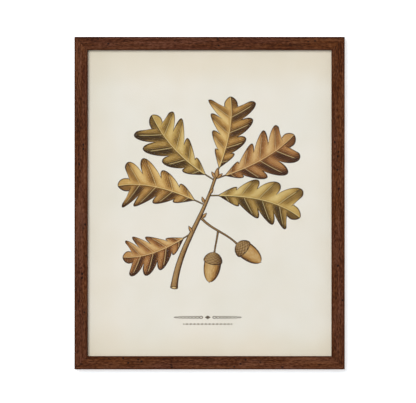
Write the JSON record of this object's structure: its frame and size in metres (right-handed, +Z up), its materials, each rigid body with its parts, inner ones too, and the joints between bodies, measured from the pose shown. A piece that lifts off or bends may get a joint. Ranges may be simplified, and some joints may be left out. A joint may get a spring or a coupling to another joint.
{
  "type": "framed botanical print",
  "caption": "Upright wall picture: a flat mitred dark wood frame holds a clear pane, a printed botanical sheet and a hardboard back, and hangs from a sawtooth hanger.",
  "frame": {"origin": "where the wall nail carries the frame: the root of the sawtooth hanger's middle tooth, on the plane of the wall", "axes": "+Z up along the sheet's long side, +X to the right as one faces the print, +Y into the wall; the print faces -Y"},
  "size_m": [0.4408, 0.025, 0.5424],
  "materials": {
    "wood": "satin",
    "acrylic": "polished",
    "paper": "matte",
    "hardboard": "matte",
    "steel": "satin",
    "brass": "satin",
    "rubber": "matte"
  },
  "bodies": {
    "root": {"moulding_left": "wood", "moulding_top": "wood", "moulding_right": "wood", "moulding_bottom": "wood", "pane": "acrylic", "print_sheet": "paper", "back_board": "hardboard", "steel_point_left_1": "steel", "steel_point_left_2": "steel", "steel_point_left_3": "steel", "steel_point_top_1": "steel", "steel_point_top_2": "steel", "steel_point_right_1": "steel", "steel_point_right_2": "steel", "steel_point_right_3": "steel", "steel_point_bottom_1": "steel", "steel_point_bottom_2": "steel", "v_nail_bottom_left_1": "steel", "v_nail_bottom_left_2": "steel", "v_nail_top_left_1": "steel", "v_nail_top_left_2": "steel", "v_nail_top_right_1": "steel", "v_nail_top_right_2": "steel", "v_nail_bottom_right_1": "steel", "v_nail_bottom_right_2": "steel", "hanger": "brass", "hanger_nail_left": "brass", "hanger_nail_right": "brass", "bumper_left": "rubber", "bumper_right": "rubber"}
  },
  "joints": []
}
